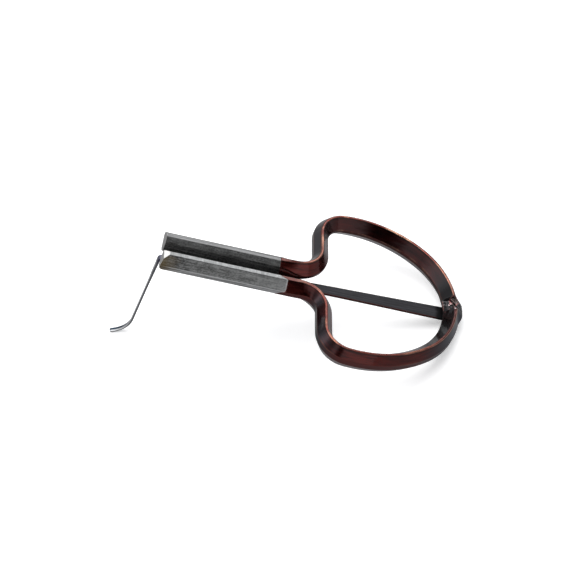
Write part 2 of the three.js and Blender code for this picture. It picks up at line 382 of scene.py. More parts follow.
def bow_stops():
    stops = list(END_STOPS)
    s = FIRST_STOP
    while s < BOW_LENGTH - LAST_GAP:
        stops.append(s)
        s += FINE_STEP if abs(s - BACK_S) < BACK_REACH else STEP
    return stops + [BOW_LENGTH - stop for stop in reversed(END_STOPS)]


def bow_mesh():
    stops = bow_stops()
    points = []
    for s in stops:
        x, y, heading = bow_line.at(s)
        outline = rounded(*bow_section(s), ARC_POINTS, FACE_POINTS)
        border, bare = (LEFT_BORDER, LEFT_BARE) if s < BACK_S else (RIGHT_BORDER, RIGHT_BARE)
        slant = 1 - smooth(0.0, BORDER_REACH, min(s, BOW_LENGTH - s))
        for n, z in outline:
            if abs(s - BACK_S) < BACK_REACH:
                n, z = struck(n, z, BACK_S - s)
            edge = min(first + second * n + third * z for first, second, third in border)
            points.append((x - math.sin(heading) * n + (edge - bare) * slant, y + math.cos(heading) * n, z))
    return mesh_object("bow_visual", points, tube_faces(len(stops), len(outline)))


NOTCH_HALF_WIDTH, NOTCH_FRONT_X = 2.52, 87.0
NOTCH_PLAY, NOTCH_END_PLAY = 0.13, 0.15


def cut_notch(obj):
    """The slot the reed's root is staked into, with the clearance left by the hammer."""
    half_height = REED_HALF_THICKNESS + NOTCH_PLAY
    corners = [
        (x, y, HINGE.z + z)
        for x in (NOTCH_FRONT_X, ROOT_END_X + NOTCH_END_PLAY)
        for y in (-NOTCH_HALF_WIDTH, NOTCH_HALF_WIDTH)
        for z in (-half_height, half_height)
    ]
    faces = [(0, 1, 3, 2), (4, 6, 7, 5), (0, 4, 5, 1), (2, 3, 7, 6), (0, 2, 6, 4), (1, 5, 7, 3)]
    cutter = mesh_object("notch_cutter", corners, faces)
    boolean = obj.modifiers.new("notch", "BOOLEAN")
    boolean.operation, boolean.solver, boolean.object = "DIFFERENCE", "EXACT", cutter
    bpy.context.view_layer.update()
    graph = bpy.context.evaluated_depsgraph_get()
    cut = bpy.data.meshes.new_from_object(obj.evaluated_get(graph))
    obj.modifiers.clear()
    obj.data = cut
    bpy.data.objects.remove(cutter)


# ---- the bow's wear and painted light, as attributes of its points ------------------------------------

TRACK_STATIONS = 1600
CHUNK = 2000
RIDGE_WEAR, CORNER_WEAR = 0.55, 0.20  # how far from a ridge or corner the wear fades
INNER_WEAR_EASE = (2.0, 10.0)  # the inner corners' wear sets in between these distances from the arms

# Painted glints on the cut's edges and painted shade in its hole, as (distance out, distance to the left,
# height) and size.
PAINTED_GLINTS = [
    ((-0.64, 2.09, 1.47), 0.32),
    ((-1.18, 1.56, 1.33), 0.24),
    ((-0.21, -1.46, 3.97), 0.34),
    ((-2.75, -0.35, -0.9), 0.22),
]
PAINTED_HOLE_SHADE = [
    ((-1.80, 1.35, 0.82), 0.50),
    ((-0.89, 1.14, 1.40), 0.40),
    ((-0.07, 1.43, 1.51), 0.32),
    ((-2.7, 3.9, 0.9), 0.5),
]
# A scratch on the steep wall, drawn as a painted highlight.
SCRATCH, SCRATCH_SIZE, SCRATCH_BRIGHT = ((-2.5, -1.66, 1.01), (-0.98, -0.07, 1.41)), 0.13, 0.6
# The flattened ridge's outline, as (distance out, distance to the left).
FACET = [(-0.54, 3.65), (0.31, 3.85), (1.96, 2.24), (0.46, 0.74), (-0.92, 3.33)]
FACET_RIM, FACET_RIM_BRIGHT, FACET_BRIGHT = 0.17, 0.34, 0.12
FACET_FLOOR = 1.3  # the facet is above this height


def bar_coordinates(points, line):
    """For each point: distance along the line, distance out of the bow and height."""
    stations = np.linspace(0, line.length, TRACK_STATIONS)
    track = np.array([line.at(s) for s in stations])
    result = np.zeros((len(points), 3))
    for i in range(0, len(points), CHUNK):
        chunk = points[i : i + CHUNK]
        gap = (chunk[:, None, 0] - track[None, :, 0]) ** 2 + (chunk[:, None, 1] - track[None, :, 1]) ** 2
        near = gap.argmin(1)
        dx, dy, heading = chunk[:, 0] - track[near, 0], chunk[:, 1] - track[near, 1], track[near, 2]
        result[i : i + CHUNK, 0] = stations[near] + dx * np.cos(heading) + dy * np.sin(heading)
        result[i : i + CHUNK, 1] = -dx * np.sin(heading) + dy * np.cos(heading)
        result[i : i + CHUNK, 2] = chunk[:, 2]
    return result


def fading(distance, size):
    """1 at a mark, fading out over its size."""
    return math.exp(-((distance / size) ** 2))


def edge_wear(bar):
    """How near each point is to the bar's two ridges, and to its other corners: 1 on them, 0 on faces."""
    ridges, corners = np.zeros(len(bar)), np.zeros(len(bar))
    for i, (s, n, z) in enumerate(bar):
        outline, _ = bow_section(min(max(s, 0.0), BOW_LENGTH))
        distances = [math.hypot(n - corner[0], z - corner[1]) for corner in outline]
        ridge = math.hypot(max(0.0, abs(n) - 0.5 * outline[1][0]), outline[1][1] - abs(z))
        ridges[i] = fading(ridge, RIDGE_WEAR)
        inner_share = smooth(*INNER_WEAR_EASE, min(s, BOW_LENGTH - s))
        outer, inner = min(distances[2:4]), min(distances[6:8])
        corners[i] = max(fading(outer, CORNER_WEAR), inner_share * fading(inner, CORNER_WEAR))
    return ridges, corners


def from_segment(point, start, end):
    start, end = np.array(start), np.array(end)
    share = np.clip((point - start) @ (end - start) / ((end - start) @ (end - start)), 0, 1)
    return np.linalg.norm(point - start - share * (end - start))


def nearest_spot(point, spots):
    return max(fading(np.linalg.norm(point - place), size) for place, size in spots)


def facet_mark(point):
    """The flattened ridge: its rim is rubbed and carries a painted highlight, and its inside is rubbed a
    little.
    """
    sides = list(zip(FACET, FACET[1:] + FACET[:1]))
    rim = min(from_segment(point, a, b) for a, b in sides)
    inside = all((b[0] - a[0]) * (point[1] - a[1]) < (b[1] - a[1]) * (point[0] - a[0]) for a, b in sides)
    return max(FACET_RIM_BRIGHT * fading(rim, FACET_RIM), FACET_BRIGHT if inside else 0.0)


def cut_marks_and_light(bar):
    """Round the cut: rubbed metal and painted highlights towards 1, painted shade in its hole towards -1."""
    marks = np.zeros(len(bar))
    for i, (s, n, z) in enumerate(bar):
        point = np.array((n, BACK_S - s, z))
        if abs(point[1]) > 6:
            continue
        scratch = SCRATCH_BRIGHT * fading(from_segment(point, *SCRATCH), SCRATCH_SIZE)
        bright = max(nearest_spot(point, PAINTED_GLINTS), scratch)
        if z > FACET_FLOOR:
            bright = max(bright, facet_mark(point[:2]))
        marks[i] = bright - nearest_spot(point, PAINTED_HOLE_SHADE) * (1 - bright)
    return marks


# ---- the ground arms' shape ---------------------------------------------------------------------------

# The faces filed on the right arm's tip, as planes in the same terms as the lacquer's edge.
TIP_PLANES = [(-0.565, -0.107, -0.025), (-1.265, 0.0, 0.45), (-3.7, 0.0, 1.5), (-3.84, 0.8, -1.18)]
ARM_EASE = 0.13  # the arms' edges are eased by this much, where two faces turn by more than EASED_ANGLE
EASED_ANGLE = 8


def plane_across(side, at_centre, per_out, per_up):
    """The plane x = at_centre + per_out * (distance out) + per_up * z across an arm, facing the bow."""
    return Vector((at_centre, side * ARM_OFFSET, 0)), Vector((1.0, -side * per_out, -per_up)).normalized()


def arm_mesh(name, side, tip_x, bare, tip_planes, border):
    """A prism of the arm's section, cut back by the tip's planes and the lacquer's edge, its edges eased."""
    points = [(x, side * (ARM_OFFSET + n), z) for x in (tip_x, bare + 1) for n, z in ARM_SECTION]
    arm = mesh_object(name, points, tube_faces(2, len(ARM_SECTION)))
    cuts = [plane_across(side, *plane) for plane in tip_planes]
    for point, towards_bow in [plane_across(side, *plane) for plane in border]:
        cuts.append((point, -towards_bow))
    bm = bmesh.new()
    bm.from_mesh(arm.data)
    for point, normal in cuts:
        geom = bm.verts[:] + bm.edges[:] + bm.faces[:]
        cut = bmesh.ops.bisect_plane(bm, geom=geom, plane_co=point, plane_no=normal, clear_inner=True)
        rim = [e for e in cut["geom_cut"] if isinstance(e, bmesh.types.BMEdge)]
        bmesh.ops.edgenet_fill(bm, edges=rim)
    bmesh.ops.dissolve_degenerate(bm, dist=1e-4, edges=bm.edges)
    bmesh.ops.recalc_face_normals(bm, faces=bm.faces)
    least = math.radians(EASED_ANGLE)
    sharp = [e for e in bm.edges if len(e.link_faces) == 2 and e.calc_face_angle() > least]
    eased = dict(offset=ARM_EASE, segments=3, profile=0.6, affect="EDGES", clamp_overlap=True)
    bmesh.ops.bevel(bm, geom=sharp, **eased)
    bm.to_mesh(arm.data)
    bm.free()
    arm.data.shade_smooth()
    weighted_normals(arm)
    return arm


# ---- the reed's shape ---------------------------------------------------------------------------------

STRIP_RADIUS, STRIP_ARC_POINTS, STRIP_FACE_POINTS = 0.13, 4, [6, 2, 6, 2]
STRIP_EDGE = 0.22  # the colour of the strip's long edges fades over this width
TRIGGER_START = 0.85  # the trigger takes over this far from the tip's corner
TRIGGER_LEAD = 0.3  # and runs straight on for this length before its bend
TRIGGER_STEP = 0.22
TRIGGER_END_STOPS = [0.3, 0.2, 0.1, 0.03, 0.0]  # its last rings, by the distance from its end
TRIGGER_LAST_GAP = 0.4
DRAWN_OUT = (1.0, 16.0)  # the trigger is drawn out narrower and thinner between these distances along it
DRAWN_WIDTH, DRAWN_THICKNESS = 0.20, 0.13
TIP_ROUND = 0.5  # its end is rounded off over this length
ROOT_STEP, REED_STEP, HINGE_EASE = 0.4, 0.8, 3

slope = math.asin((HINGE.z - REED_TIP_HEIGHT) / HINGE.x)


def reed_width(distance_from_tip):
    return float(np.interp(distance_from_tip, REED_WIDTH_PLACES, REED_HALF_WIDTHS))


def on_reed(distance_from_tip):
    """(x, z) on the reed's mid plane at a distance from the tip's corner."""
    back = HINGE.x - distance_from_tip
    return HINGE.x - back * math.cos(slope), HINGE.z - back * math.sin(slope)


def reed_stations():
    """The root, flat in its notch, and the tongue, which slopes down from the hinge to the trigger."""
    stations = []
    for x in np.arange(ROOT_END_X, HINGE.x, -ROOT_STEP):
        stations.append((x, HINGE.z, 0.0, reed_width(x), REED_HALF_THICKNESS))
    for distance in [*np.arange(HINGE.x, TRIGGER_START, -REED_STEP), TRIGGER_START]:
        x, z = on_reed(distance)
        angle = slope * smooth(HINGE.x, HINGE.x - HINGE_EASE, distance)
        stations.append((x, z, angle, reed_width(distance), REED_HALF_THICKNESS))
    return stations


def trigger_stations():
    """The strip along the trigger's line, drawn out thinner towards the curl, and the line's length."""
    line = BentLine(on_reed(TRIGGER_START), math.pi + slope).straight(TRIGGER_LEAD)
    line.bend(TRIGGER_BEND_RADIUS, math.pi / 2 - math.radians(TRIGGER_LEAN))
    line.straight(TRIGGER_DROP - TRIGGER_BEND_RADIUS)
    line.bend(CURL_RADIUS, -math.radians(CURL_ANGLE))
    line.straight(CURL_TAIL)
    stops = [*np.arange(0, line.length - TRIGGER_LAST_GAP, TRIGGER_STEP)]
    stops += [line.length - stop for stop in TRIGGER_END_STOPS]
    stations = []
    for s in stops:
        x, z, heading = line.at(s)
        to_end = min(line.length - s, TIP_ROUND) / TIP_ROUND
        round_off = math.sqrt(max(0.0, 1 - (1 - to_end) ** 2))
        drawn_out = smooth(*DRAWN_OUT, s)
        half_width = (REED_TIP_HALF_WIDTH - DRAWN_WIDTH * drawn_out) * (0.55 + 0.45 * round_off)
        half_thickness = (REED_HALF_THICKNESS - DRAWN_THICKNESS * drawn_out) * (0.5 + 0.5 * round_off)
        stations.append((x, z, heading - math.pi, half_width, half_thickness))
    return stations, line.length


def strip_mesh(name, stations, along):
    """A flat strip through stations of (x, z, angle of its face, half width, half thickness). Its points
    know their place, bar = (distance along, across, lift), and edge = 1 on the strip's two long edges."""
    points, places, edges = [], [], []
    for (x, z, angle, half_width, half_thickness), distance in zip(stations, along):
        corners = [
            (half_width, half_thickness),
            (-half_width, half_thickness),
            (-half_width, -half_thickness),
            (half_width, -half_thickness),
        ]
        outline = rounded(corners, [STRIP_RADIUS] * 4, STRIP_ARC_POINTS, STRIP_FACE_POINTS)
        for across, lift in outline:
            points.append((x - math.sin(angle) * lift, across, z + math.cos(angle) * lift))
            places.append((distance, across, lift))
            edges.append(fading(half_width - abs(across), STRIP_EDGE))
    strip = mesh_object(name, points, tube_faces(len(stations), len(outline)))
    attribute(strip, "bar", "FLOAT_VECTOR", places)
    attribute(strip, "edge", "FLOAT", edges)
    weighted_normals(strip)
    return strip


# ---- materials ----------------------------------------------------------------------------------------


class Nodes:
    """Short ways to add nodes to a tree. An input is another node's output, a number or a colour."""

    def __init__(self, tree):
        self.tree = tree

    def node(self, kind, **settings):
        made = self.tree.nodes.new(kind)
        for key, value in settings.items():
            setattr(made, key, value)
        return made

    def link(self, source, target):
        if isinstance(source, bpy.types.NodeSocket):
            self.tree.links.new(source, target)
        elif isinstance(source, tuple) and len(source) == 3 and len(target.default_value) == 4:
            target.default_value = (*source, 1.0)
        else:
            target.default_value = source

    def range(self, value, low, high, to_low=0.0, to_high=1.0, **settings):
        made = self.node("ShaderNodeMapRange", **settings)
        self.link(value, made.inputs["Value"])
        for key, number in zip(("From Min", "From Max", "To Min", "To Max"), (low, high, to_low, to_high)):
            made.inputs[key].default_value = number
        return made.outputs["Result"]

    def rise(self, value, low, high, top=1.0):
        """0 up to low, top from high on."""
        return self.range(value, low, high, 0.0, top)

    def fall(self, value, low, high, top=1.0):
        """top up to low, 0 from high on."""
        return self.range(value, low, high, top, 0.0)

    def math(self, operation, a, b=0.0):
        made = self.node("ShaderNodeMath", operation=operation)
        self.link(a, made.inputs[0])
        self.link(b, made.inputs[1])
        return made.outputs["Value"]

    def times(self, first, *others):
        for other in others:
            first = self.math("MULTIPLY", first, other)
        return first

    def plus(self, first, *others):
        for other in others:
            first = self.math("ADD", first, other)
        return first

    def distance(self, value, place):
        return self.math("ABSOLUTE", self.math("SUBTRACT", value, place))


class Shader(Nodes):
    """A node material around one Principled surface. On the harp it knows a point's place in millimetres:
    along, out and up on the bars and, under the same names, along, across and lift on the reed."""

    def __init__(self, name, on_harp=True):
        self.material = bpy.data.materials.new(name)
        self.material.use_nodes = True
        super().__init__(self.material.node_tree)
        self.surface = self.tree.nodes["Principled BSDF"]
        if on_harp:
            self.place = self.node("ShaderNodeAttribute", attribute_name="bar").outputs["Vector"]
            self.along, self.out, self.up = self.parts(self.place)

    def parts(self, vector):
        made = self.node("ShaderNodeSeparateXYZ")
        self.link(vector, made.inputs["Vector"])
        return made.outputs["X"], made.outputs["Y"], made.outputs["Z"]

    def value(self, name):
        return self.node("ShaderNodeAttribute", attribute_name=name).outputs["Fac"]

    def stretched(self, scale, turn=0.0):
        """The place, scaled by a vector and turned by degrees about the height."""
        made = self.node("ShaderNodeMapping")
        self.link(self.place, made.inputs["Vector"])
        made.inputs["Rotation"].default_value = (0, 0, math.radians(turn))
        made.inputs["Scale"].default_value = scale
        return made.outputs["Vector"]

    def noise(self, scale, detail=4.0, roughness=0.55, turn=0.0):
        made = self.node("ShaderNodeTexNoise")
        self.link(self.stretched(scale, turn), made.inputs["Vector"])
        for key, number in (("Scale", 1.0), ("Detail", detail), ("Roughness", roughness)):
            made.inputs[key].default_value = number
        return made.outputs["Fac"]

    def cells(self, stretch, scale):
        made = self.node("ShaderNodeTexVoronoi")
        self.link(self.stretched(stretch), made.inputs["Vector"])
        made.inputs["Scale"].default_value = scale
        return made.outputs["Distance"]

    def mix(self, share, a, b):
        made = self.node("ShaderNodeMix", data_type="RGBA")
        for key, source in (("Factor", share), ("A", a), ("B", b)):
            self.link(source, made.inputs[key])
        return made.outputs["Result"]

    def bump(self, height, strength, distance, onto=None):
        made = self.node("ShaderNodeBump")
        self.link(height, made.inputs["Height"])
        made.inputs["Strength"].default_value = strength
        made.inputs["Distance"].default_value = distance
        if onto is not None:
            self.link(onto, made.inputs["Normal"])
        return made.outputs["Normal"]

    def set(self, **inputs):
        for key, value in inputs.items():
            self.link(value, self.surface.inputs[key.replace("_", " ")])


def grey(level):
    return (level, level, level)


# Lacquer. Places on the bow are in millimetres along it, from its left arm or on from BACK_S, its back.
THICK_LACQUER, THIN_LACQUER = (0.0035, 0.0055, 0.0075), (0.165, 0.019, 0.013)
LIGHT_STREAK, DARK_STREAK = (0.21, 0.036, 0.028), (0.012, 0.003, 0.003)
# Painted bluish reflections on the outer faces of the lobes and of the back.
PAINTED_REFLECTION_LOBE, PAINTED_REFLECTION_BACK = (0.016, 0.021, 0.030), (0.060, 0.067, 0.088)
# Painted shade: a dark line either side of the ridge's highlight.
PAINTED_SHADE_BY_RIDGE = (0.010, 0.003, 0.003)
COPPER, RUBBED_COPPER, BACK_COPPER, ARM_COPPER = (
    (0.19, 0.032, 0.018),
    (0.86, 0.47, 0.31),
    (0.085, 0.013, 0.012),
    (0.060, 0.010, 0.006),
)
# The painted highlight line right of the back and its distance out, and the specks' colour.
PAINTED_HIGHLIGHT_LINE, HIGHLIGHT_LINE_OUT, SPECK = (0.95, 0.56, 0.42), 0.42, (0.012, 0.004, 0.004)
# Round the cut: painted shade in its hole, hammered steel, the rubbed rim with a painted highlight, and
# painted glints.
PAINTED_CUT_SHADE, BRUISE_STEEL, RIM_RED_AND_HIGHLIGHT, PAINTED_CUT_GLINT = (
    grey(0.003),
    (0.080, 0.058, 0.052),
    (0.30, 0.08, 0.08),
    (1.0, 0.90, 0.88),
)


def lacquer_faces(m, from_arms):
    """The bar's faces: redder where the lacquer is thin and towards the arms, with a painted bluish
    reflection on the outside.
    """
    on_left = m.times(m.range(m.along, 8.0, 22.0, 0.9, 0.36), m.fall(m.along, BACK_S, BACK_S + 1.0))
    on_right = m.rise(m.along, BACK_S + 8.0, BACK_S + 26.0, 0.75)
    off_back = m.range(m.distance(m.along, BACK_S), 9.0, 24.0, 0.06, 1.0)
    red = m.times(m.math("MAXIMUM", on_left, on_right), off_back)
    pooled = m.range(m.noise((0.09, 0.30, 0.30), 3.0), 0.30, 0.62, 0.55, 1.15)
    drawn = m.noise((0.14, 1.5, 1.5), 4.0, 0.6)
    face = m.mix(m.times(red, pooled), THICK_LACQUER, THIN_LACQUER)
    face = m.mix(m.times(m.rise(drawn, 0.52, 0.68), red, 0.45), face, LIGHT_STREAK)
    face = m.mix(m.fall(drawn, 0.34, 0.46, 0.6), face, DARK_STREAK)
    # Painted bluish reflection on the lobes' outer faces, then on the outer face right of the back.
    in_lobes = m.times(m.rise(from_arms, 8.0, 14.0), m.fall(from_arms, 26.0, 34.0))
    face = m.mix(m.times(in_lobes, m.rise(m.out, 0.3, 0.9, 0.85)), face, PAINTED_REFLECTION_LOBE)
    past_back = m.rise(m.along, BACK_S + 1.0, BACK_S + 4.0)
    before_lobe = m.fall(m.along, BACK_S + 10.0, BACK_S + 26.0)
    return m.mix(m.times(past_back, before_lobe, m.rise(m.out, 0.3, 0.9, 0.8)), face, PAINTED_REFLECTION_BACK)


def lacquer_copper(m, from_arms):
    """The copper red of the worn edges, nearly bare in places, with a painted highlight line right of the
    back.
    """
    rubbed = m.times(
        m.rise(m.noise((0.16, 0.1, 0.1), 3.0), 0.46, 0.58, 0.9),
        m.range(m.along, BACK_S - 30.0, BACK_S - 12.0, 1.0, 0.25),
        m.range(m.along, 16.0, 32.0, 0.2, 1.0),
    )
    copper = m.mix(rubbed, COPPER, RUBBED_COPPER)
    by_back = m.times(m.rise(m.along, BACK_S, BACK_S + 1.0), m.fall(m.along, BACK_S + 12.0, BACK_S + 24.0))
    copper = m.mix(m.times(by_back, 0.8), copper, BACK_COPPER)
    # A painted highlight line along the ridge right of the back.
    highlight_line = m.fall(m.distance(m.out, HIGHLIGHT_LINE_OUT), 0.05, 0.20, 0.9)
    copper = m.mix(m.times(by_back, highlight_line), copper, PAINTED_HIGHLIGHT_LINE)
    return m.mix(m.fall(from_arms, 4.0, 10.0, 0.65), copper, ARM_COPPER)


def lacquer():
    """Clear dark red-brown lacquer over steel: nearly black where it is thick, copper red on the edges."""
    m = Shader("lacquered_steel")
    half = 0.5 * BOW_LENGTH
    from_arms = m.math("SUBTRACT", half, m.distance(m.along, half))
    ridge, cut_marks_light = m.value("ridge"), m.value("cut_marks_light")
    # Painted shade beside the ridge, either side of its highlight.
    colour = m.mix(m.rise(ridge, 0.10, 0.40, 0.75), lacquer_faces(m, from_arms), PAINTED_SHADE_BY_RIDGE)
    broken = m.range(m.noise((0.6, 1.2, 1.2), 5.0, 0.6), 0.30, 0.60, 0.35, 1.0)
    on_edge = m.math("MAXIMUM", m.rise(ridge, 0.66, 0.90), m.times(m.value("corner"), 0.5))
    colour = m.mix(m.times(on_edge, broken), colour, lacquer_copper(m, from_arms))
    speck = m.fall(m.cells((0.9, 1.6, 1.6), 1.4), 0.05, 0.16)
    colour = m.mix(m.times(speck, on_edge, 0.65), colour, SPECK)
    # Painted shade in the cut's hole, then the hammered steel, the rubbed rim with its painted highlight and
    # the painted glints.
    colour = m.mix(m.fall(cut_marks_light, -0.6, -0.1), colour, PAINTED_CUT_SHADE)
    colour = m.mix(m.rise(cut_marks_light, 0.04, 0.12), colour, BRUISE_STEEL)
    colour = m.mix(m.rise(cut_marks_light, 0.15, 0.34), colour, RIM_RED_AND_HIGHLIGHT)
    colour = m.mix(m.rise(cut_marks_light, 0.38, 0.60), colour, PAINTED_CUT_GLINT)
    rough = m.range(m.noise((0.3, 1.5, 1.5), 5.0), 0.3, 0.7, 0.12, 0.26)
    grain = m.bump(m.noise((0.5, 3.0, 3.0), 5.0), 0.3, 0.03 * MM)
    ripple = m.bump(m.noise((0.30, 0.7, 0.7), 2.0), 0.4, 0.08 * MM)
    m.set(Base_Color=colour, Metallic=1.0, Roughness=rough, Normal=grain)
    m.set(Coat_Weight=0.75, Coat_Roughness=0.03, Coat_IOR=1.5, Coat_Normal=ripple)
    return m.material


# Ground steel, from its dark lines to its filed facets with their painted highlight.
STEEL_DARK, STEEL_LIGHT, STEEL_PIT = (0.066, 0.067, 0.066), (0.34, 0.342, 0.338), grey(0.045)
STEEL_PALE, STEEL_SHADE, STEEL_BY_TOP = (0.50, 0.505, 0.50), grey(0.05), (0.06, 0.06, 0.062)
HATCH_DARK, HATCH_LIGHT = (0.40, 0.41, 0.41), (0.60, 0.61, 0.61)
TOP_DARK, TOP_LIGHT = grey(0.10), grey(0.42)
# The outside flat's colour, and two painted highlights: along the upper outer corner and by the lacquer's
# edge.
OUTSIDE, CORNER_HIGHLIGHT, PAINTED_BORDER_HIGHLIGHT = (0.62, 0.62, 0.625), grey(0.72), grey(0.66)
RUST = (0.17, 0.125, 0.06)
# The filed tips: pale bare steel, with painted shade on the square end and a painted highlight on the slanted
# facets.
FILED_SHADED, FILED_LIT = (0.50, 0.495, 0.485), (0.85, 0.84, 0.82)
FLAT_EASE = (3.22, 3.38)  # the arm's top and outside flats, both at 3.4, take over between these


def ground_steel(name, stained):
    """Bare steel ground lengthwise, with pits left from the rolled bar. The stained arm is paler towards the
    bow, hatched across its top, brown at its tip and has a painted highlight by the lacquer's edge. The other
    arm has painted shade on its inner faces. Both have a painted highlight on the upper outer corner, and
    painted light and shade on their filed tips."""
    m = Shader(name)
    lines = m.noise((0.10, 2.2, 2.2), 3.0)
    fine = m.noise((0.9, 9.0, 9.0), 3.0, 0.6)
    grains = m.noise((1.5, 3.0, 3.0), 2.0, 0.5)
    mottled = m.noise((0.4, 0.8, 0.8), 4.0, 0.6)
    pitted = m.rise(m.noise((1.1, 1.9, 1.9), 3.0, 0.6), 0.58, 0.70)
    hatch = m.noise((1.15, 0.22, 1.0), 3.0, 0.6, turn=38)
    top, outside = m.rise(m.up, *FLAT_EASE), m.rise(m.out, *FLAT_EASE)
    down_slope = m.math("SUBTRACT", m.out, m.up)  # -2.8 at the top flat, 2.7 at the outside one
    facing, _, _ = m.parts(m.node("ShaderNodeNewGeometry").outputs["True Normal"])

    shade = m.plus(m.times(lines, 0.45), m.times(grains, 0.35), m.times(mottled, 0.2))
    colour = m.mix(m.rise(shade, 0.41, 0.59), STEEL_DARK, STEEL_LIGHT)
    colour = m.mix(m.times(pitted, 0.75), colour, STEEL_PIT)
    if stained:
        colour = m.mix(m.rise(m.along, 4.0, 37.0, 0.36), colour, STEEL_PALE)
        flat = m.mix(m.rise(hatch, 0.35, 0.65), HATCH_DARK, HATCH_LIGHT)
    else:
        # Painted shade on this arm's inner faces, where the other arm shades them: darkest just above the
        # crease and lighter towards the top; below the crease it grows darker towards the bottom.
        above = m.rise(m.up, 1.85, 2.15)
        dim_above = m.times(above, m.range(m.up, 2.1, 3.3, 0.55, 0.35))
        dim_below = m.times(m.math("SUBTRACT", 1.0, above), m.fall(m.up, -0.5, 1.9, 0.28))
        colour = m.mix(m.plus(dim_above, dim_below), colour, STEEL_SHADE)
        streaks = m.range(m.noise((0.05, 2.6, 0.1), 2.0, 0.5), 0.40, 0.60, 0.45, 1.0)
        flat = m.mix(streaks, TOP_DARK, TOP_LIGHT)
    colour = m.mix(m.times(top, 0.9), colour, flat)
    colour = m.mix(m.times(outside, m.range(lines, 0.40, 0.56, 0.25, 1.0)), colour, OUTSIDE)
    colour = m.mix(m.fall(m.distance(down_slope, -2.56), 0.06, 0.22, 0.6), colour, STEEL_BY_TOP)
    # A painted highlight along the upper outer corner.
    colour = m.mix(m.fall(m.distance(down_slope, 2.62), 0.08, 0.24, 0.8), colour, CORNER_HIGHLIGHT)
    if stained:
        # A painted highlight along the bare arm by the lacquer's edge.
        colour = m.mix(m.rise(m.along, RIGHT_BARE - 0.6, RIGHT_BARE - 0.35, 0.7), colour, PAINTED_BORDER_HIGHLIGHT)
        wander = m.times(m.noise((0.5, 0.7, 0.7), 3.0), 5.0)
        near_tip = m.fall(m.plus(m.along, wander), 2.0, 7.5)
        below_top = m.fall(m.up, 2.9, 3.3)
        colour = m.mix(m.times(near_tip, below_top, 0.85), colour, RUST)
    # The filed tips are pale bare steel, lit or shaded by which way each face turns: painted highlight on the
    # slanted facets, painted shade on the square end.
    filed = m.times(m.fall(facing, -0.16, -0.10), m.fall(m.along, 4.0, 4.6))
    filed_light_shade = m.mix(m.rise(facing, -0.50, -0.35), FILED_SHADED, FILED_LIT)
    colour = m.mix(m.times(filed, 0.9), colour, filed_light_shade)

    normal = m.bump(m.plus(m.times(lines, 0.6), m.times(fine, 0.4)), 0.5, 0.09 * MM)
    normal = m.bump(m.times(pitted, -1.0), 0.5, 0.06 * MM, normal)
    normal = m.bump(m.times(hatch, top), 0.5, 0.10 * MM, normal)
    m.set(Base_Color=colour, Metallic=0.95, Roughness=m.range(mottled, 0.3, 0.7, 0.34, 0.50), Normal=normal)
    return m.material


STRIP_DARK, STRIP_LIGHT, STRIP_CLOUD = (0.026, 0.026, 0.029), (0.068, 0.067, 0.074), (0.038, 0.037, 0.040)
# Rust on the strip's edges, and the painted shadow where it enters the notch.
STRIP_RUST, STRIP_NOTCH_SHADOW = (0.085, 0.028, 0.022), (0.006, 0.006, 0.007)


def spring_steel():
    """Dark hardened strip with lengthwise grain, rusty brown along its edges, and black with painted shadow
    where it goes into the notch.
    """
    m = Shader("spring_steel")
    lines = m.noise((0.12, 4.0, 4.0), 6.0, 0.65)
    clouds = m.noise((0.12, 0.5, 0.5))
    colour = m.mix(m.rise(lines, 0.3, 0.7), STRIP_DARK, STRIP_LIGHT)
    colour = m.mix(m.rise(clouds, 0.4, 0.7, 0.4), colour, STRIP_CLOUD)
    colour = m.mix(m.rise(m.value("edge"), 0.25, 0.85, 0.85), colour, STRIP_RUST)
    # Painted shadow: the strip goes black where it enters the notch.
    colour = m.mix(m.rise(m.plus(m.along, m.times(clouds, 1.5)), 87.2, 88.4), colour, STRIP_NOTCH_SHADOW)
    normal = m.bump(m.plus(m.times(lines, 0.7), m.times(clouds, 0.3)), 0.35, 0.04 * MM)
    m.set(Base_Color=colour, Metallic=0.85, Roughness=m.range(clouds, 0.3, 0.7, 0.42, 0.56), Normal=normal)
    return m.material


BLUED_DARK, BLUED_LIGHT, BLUED_CLOUD = (0.55, 0.56, 0.57), (0.82, 0.83, 0.84), (0.16, 0.165, 0.185)
BLUED_SIDE, BLUED_BEND = (0.125, 0.130, 0.142), (0.075, 0.072, 0.115)
CURL_OUTSIDE, CURL_INSIDE = (0.20, 0.21, 0.23), (0.020, 0.038, 0.062)
CURL_START = (31.5, 36.0)  # the curl's own colours come in between these, along the trigger


def blued_steel():
    """Tempered steel, bluish grey, darker on its sides, at its bend and round the curl."""
    m = Shader("blued_steel")
    lines = m.noise((0.14, 3.0, 3.0), 6.0, 0.65)
    clouds = m.noise((0.22, 0.5, 0.5))
    on_curl = m.rise(m.along, *CURL_START)
    colour = m.mix(m.rise(lines, 0.3, 0.7), BLUED_DARK, BLUED_LIGHT)
    colour = m.mix(m.rise(clouds, 0.50, 0.66, 0.4), colour, BLUED_CLOUD)
    side = m.times(m.rise(m.value("edge"), 0.55, 0.95), m.fall(on_curl, 0.0, 1.0, 0.85))
    colour = m.mix(side, colour, BLUED_SIDE)
    colour = m.mix(m.fall(m.along, 1.5, 3.5, 0.9), colour, BLUED_BEND)
    colour = m.mix(m.times(on_curl, m.fall(m.up, 0.0, 0.12, 0.9)), colour, CURL_OUTSIDE)
    inside = m.times(on_curl, m.rise(m.up, 0.10, 0.20), m.rise(m.out, -0.35, -0.05), 0.95)
    colour = m.mix(inside, colour, CURL_INSIDE)
    rough = m.range(clouds, 0.3, 0.7, 0.30, 0.42)
    m.set(Base_Color=colour, Metallic=0.95, Roughness=rough, Normal=m.bump(lines, 0.35, 0.04 * MM))
    return m.material


FLOOR_LIT, FLOOR_SEEN, FLOOR_GLOW = (0.28, 0.28, 0.285), grey(0.92), 0.38


